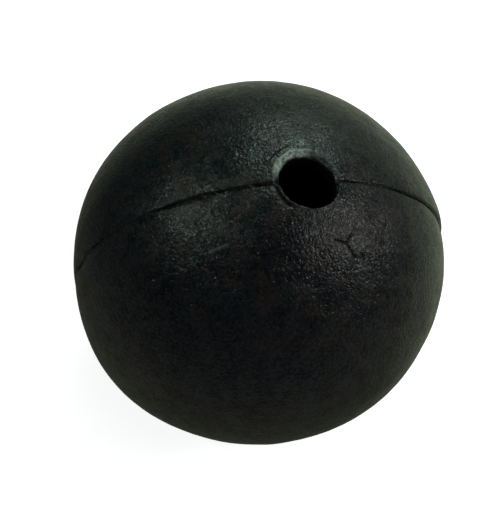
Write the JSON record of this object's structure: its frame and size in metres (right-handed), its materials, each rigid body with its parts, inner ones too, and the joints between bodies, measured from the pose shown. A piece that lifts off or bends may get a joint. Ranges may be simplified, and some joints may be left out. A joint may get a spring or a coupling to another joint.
{
  "type": "case opening friction ball",
  "caption": "Hollow black rubber ball with a round air hole on its moulding seam, pressed on a watch case back to unscrew it by friction.",
  "frame": {"origin": "the ball's centre", "axes": "+Z out through the middle of the air hole, Y across the seam with the rear half shell at +Y, X along the seam"},
  "size_m": [0.065, 0.0632, 0.0646],
  "materials": {
    "moulded_rubber": "satin black moulded rubber, lightly scuffed and dusty",
    "rubber_cement": "dull black vulcanised rubber cement"
  },
  "bodies": {
    "root": {"rear_half_shell": "moulded_rubber", "front_half_shell": "moulded_rubber", "seam_cement": "rubber_cement"}
  },
  "joints": []
}
